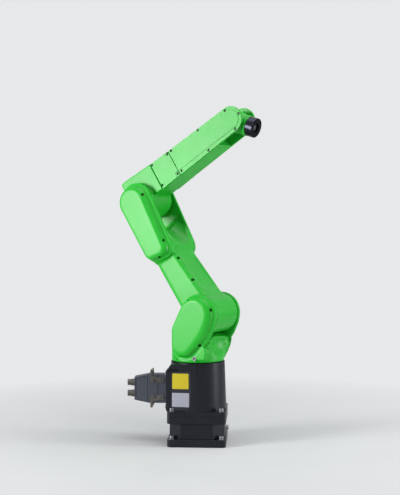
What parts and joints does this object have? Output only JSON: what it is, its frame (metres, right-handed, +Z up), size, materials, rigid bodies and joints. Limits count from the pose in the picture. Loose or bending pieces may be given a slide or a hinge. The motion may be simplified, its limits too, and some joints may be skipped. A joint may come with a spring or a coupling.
{
  "type": "industrial robot arm",
  "caption": "Collaborative industrial robot arm with soft rounded covers, forked shoulder, elbow and wrist joints, a square sensor stand, a rear plug connector and a bolt-on tool flange.",
  "frame": {"origin": "on the vertical first axis, at the underside of the stand's foot plate", "axes": "+Z up along the first axis, -X towards the cable connector, +X the arm's front at zero turn"},
  "size_m": [0.4717, 0.3344, 1.092],
  "materials": {
    "green_paint": "satin",
    "dark_grey_paint": "satin",
    "connector_grey": "matt",
    "seal_rubber": "matt",
    "plated_steel": "satin",
    "bearing_steel": "satin",
    "flange_steel": "satin"
  },
  "bodies": {
    "base": {"stand_foot_plate": "dark_grey_paint", "stand_core": "dark_grey_paint", "sensor_port": "plated_steel", "stand_top_plate": "dark_grey_paint", "base_housing": "dark_grey_paint", "base_rear_panel": "dark_grey_paint", "connector_shell": "connector_grey", "connector_seal": "seal_rubber", "connector_hood": "connector_grey", "cable_glands": "plated_steel"},
    "lever_upper": {"lever_upper": "plated_steel"},
    "lever_lower": {"lever_lower": "plated_steel"},
    "turret": {"turret_casting": "green_paint", "shoulder_fork_right": "green_paint", "shoulder_fork_left": "green_paint", "shoulder_hubs": "bearing_steel"},
    "upper_arm": {"upper_arm_casting": "green_paint", "beam_cover_right": "green_paint", "beam_cover_left": "green_paint", "elbow_fork_right": "green_paint", "elbow_fork_left": "green_paint", "elbow_hubs": "bearing_steel"},
    "elbow": {"elbow_housing": "green_paint", "elbow_rear_cap": "green_paint", "forearm_bearing": "bearing_steel"},
    "forearm": {"forearm_casting": "green_paint", "forearm_panel_right": "green_paint", "forearm_panel_left": "green_paint", "wrist_cover_right": "green_paint", "wrist_cover_left": "green_paint", "wrist_hubs": "bearing_steel"},
    "wrist": {"wrist_housing": "green_paint", "nose_ring": "green_paint"},
    "tool_flange": {"tool_flange": "flange_steel", "flange_plug": "flange_steel"}
  },
  "joints": [
    {"name": "axis_1_turn", "type": "hinge", "parent": "base", "child": "turret", "pos_m": [0, 0, 0.269], "axis": [0, 0, 1], "range_deg": [-141.5, 198.5]},
    {"name": "axis_2_lean", "type": "hinge", "parent": "turret", "child": "upper_arm", "pos_m": [0.04394, -0.02386, 0.427], "axis": [0.4772, 0.8788, 0], "range_deg": [-42, 124]},
    {"name": "axis_3_lift", "type": "hinge", "parent": "upper_arm", "child": "elbow", "pos_m": [-0.17229, 0.09355, 0.79178], "axis": [-0.4772, -0.8788, 0], "range_deg": [-68.2, 148.8]},
    {"name": "axis_4_roll", "type": "hinge", "parent": "elbow", "child": "forearm", "pos_m": [-0.18868, 0.10244, 0.82139], "axis": [0.7436, -0.4038, 0.5329], "range_deg": [-190, 190]},
    {"name": "axis_5_bend", "type": "hinge", "parent": "forearm", "child": "wrist", "pos_m": [0.12365, -0.06714, 1.0452], "axis": [-0.4772, -0.8788, 0], "range_deg": [-71, 169]},
    {"name": "axis_6_spin", "type": "hinge", "parent": "wrist", "child": "tool_flange", "pos_m": [0.17413, -0.09455, 1.02786], "axis": [0.8413, -0.4568, -0.289], "range_deg": [-360, 360]},
    {"name": "lever_upper_swing", "type": "hinge", "parent": "base", "child": "lever_upper", "pos_m": [-0.118, 0, 0.2055], "axis": [0, 1, 0], "range_deg": [0, 60]},
    {"name": "lever_lower_swing", "type": "hinge", "parent": "base", "child": "lever_lower", "pos_m": [-0.118, 0, 0.1495], "axis": [0, -1, 0], "range_deg": [0, 60]}
  ]
}
